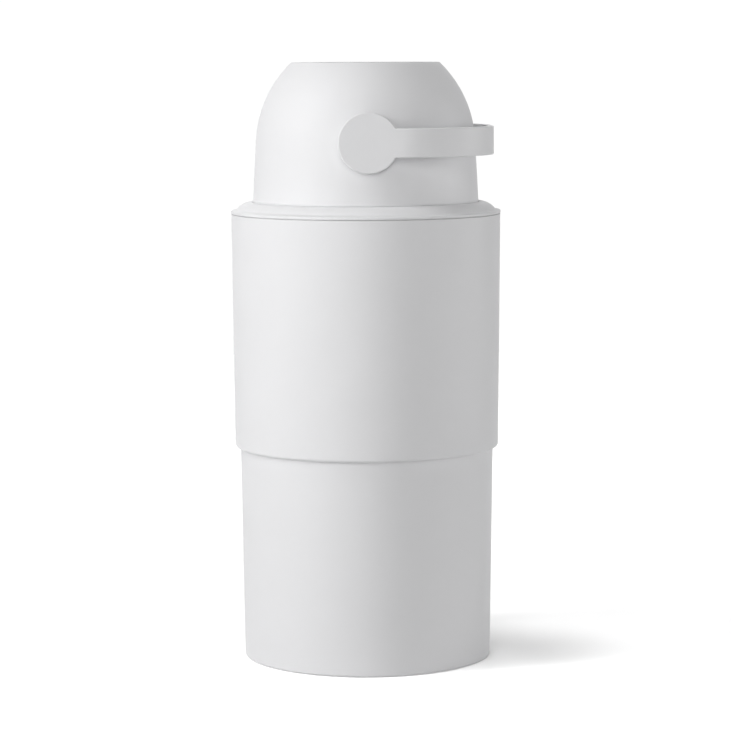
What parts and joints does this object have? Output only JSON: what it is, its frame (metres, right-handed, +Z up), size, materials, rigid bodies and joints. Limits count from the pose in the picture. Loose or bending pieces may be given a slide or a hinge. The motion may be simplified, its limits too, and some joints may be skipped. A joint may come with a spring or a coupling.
{
  "type": "nappy bin",
  "caption": "Tall round nappy bin with a telescoping sleeve, a domed head and a turning drum worked by a U-shaped handle, with a sliding piston inside.",
  "frame": {"origin": "middle of the base, on the floor, on the bin's axis", "axes": "+Z up along the bin's axis, +X towards the handle's grip at rest, the handle's pivot along Y with the marked disc at -Y"},
  "size_m": [0.2708, 0.2708, 0.6],
  "materials": {
    "shell": "fine matt moulded white plastic",
    "inner": "plain moulded off-white plastic",
    "rubber": "soft grey rubber",
    "steel": "plain zinc-plated steel"
  },
  "bodies": {
    "base": {"tub": "shell", "rubber_feet": "rubber", "slide_seal": "rubber"},
    "sleeve_body": {"sleeve": "shell"},
    "liner": {"liner_ring": "inner"},
    "head": {"collar": "shell", "head_gasket": "rubber", "cradle": "inner", "lower_seal": "rubber", "dome": "shell", "upper_seal": "rubber", "bush_front": "inner", "bush_rear": "inner", "head_screws": "steel"},
    "drum": {"drum_upper": "inner", "drum_lower": "inner", "end_ring_upper": "inner", "end_ring_lower": "inner", "drum_tube": "inner", "axle_front": "inner", "axle_rear": "inner", "axle_screws": "steel", "handle": "shell"},
    "piston": {"piston_upper": "inner", "piston_lower": "inner", "piston_weight": "steel", "piston_seals": "rubber", "piston_screws": "steel"}
  },
  "joints": [
    {"name": "body_telescope", "type": "slide", "parent": "base", "child": "sleeve_body", "axis": [0, 0, 1], "range_m": [-0.18, 0]},
    {"name": "head_lift", "type": "slide", "parent": "sleeve_body", "child": "head", "axis": [0, 0, 1], "range_m": [0, 0.12]},
    {"name": "liner_lift", "type": "slide", "parent": "sleeve_body", "child": "liner", "axis": [0, 0, 1], "range_m": [0, 0.06]},
    {"name": "drum_turn", "type": "hinge", "parent": "head", "child": "drum", "pos_m": [0, 0, 0.5225], "axis": [0, -1, 0], "range_deg": [0, 180]},
    {"name": "piston_slide", "type": "slide", "parent": "drum", "child": "piston", "axis": [0, 0, 1], "range_m": [0, 0.101]}
  ],
  "couplings": [
    {"joint": "liner_lift", "follows": "head_lift", "ratio": 0.5}
  ]
}
